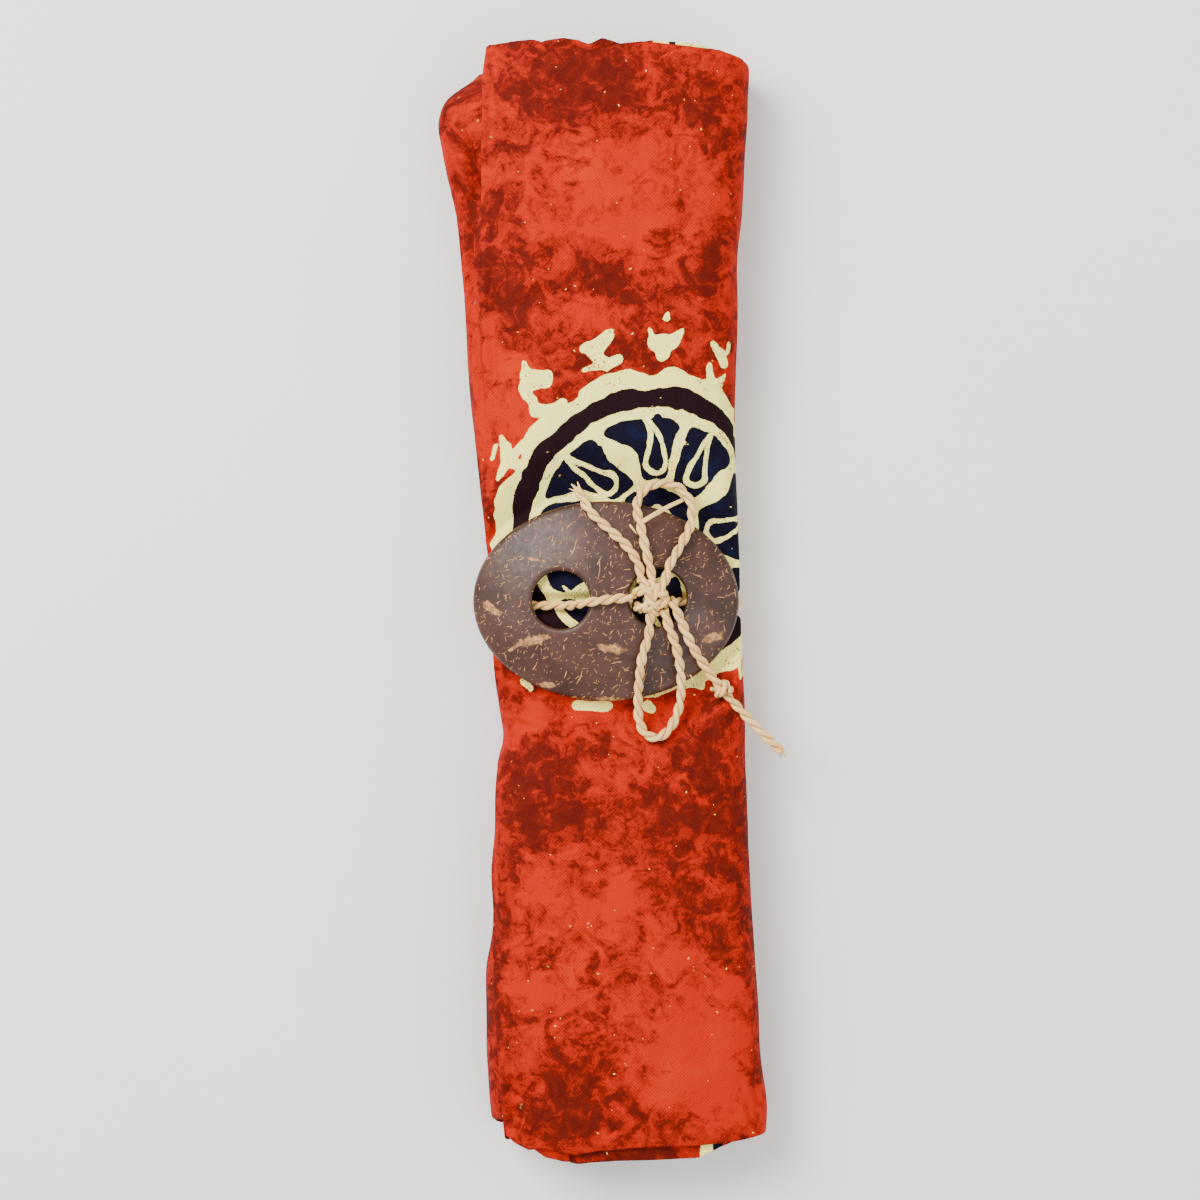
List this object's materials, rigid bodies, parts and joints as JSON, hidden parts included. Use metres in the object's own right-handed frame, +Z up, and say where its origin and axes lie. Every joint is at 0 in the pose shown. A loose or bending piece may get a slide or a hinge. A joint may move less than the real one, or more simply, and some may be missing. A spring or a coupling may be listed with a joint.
{
  "type": "folded sarong",
  "caption": "Batik sarong folded and turned into a long flat bundle, tied across the middle with an oval coconut-shell buckle on a palm cord in a bow.",
  "frame": {"origin": "on the surface the bundle lies on, under the middle of its footprint", "axes": "+Y along the bundle towards the end with the wider left lobe, +X to the right as seen from above, +Z up"},
  "size_m": [0.0912, 0.295, 0.032],
  "materials": {
    "red_batik_rayon": "matte",
    "dark_batik_rayon": "matte",
    "coconut_shell": "polished",
    "palm_cord": "matte"
  },
  "bodies": {
    "root": {"outer_turn": "red_batik_rayon", "second_turn": "dark_batik_rayon", "folded_core": "dark_batik_rayon", "shell_buckle": "coconut_shell", "tie_band": "palm_cord", "bow_knot": "palm_cord", "bow_loop_upper": "palm_cord", "bow_loop_lower": "palm_cord", "tail_upper": "palm_cord", "tail_lower": "palm_cord"}
  },
  "joints": []
}
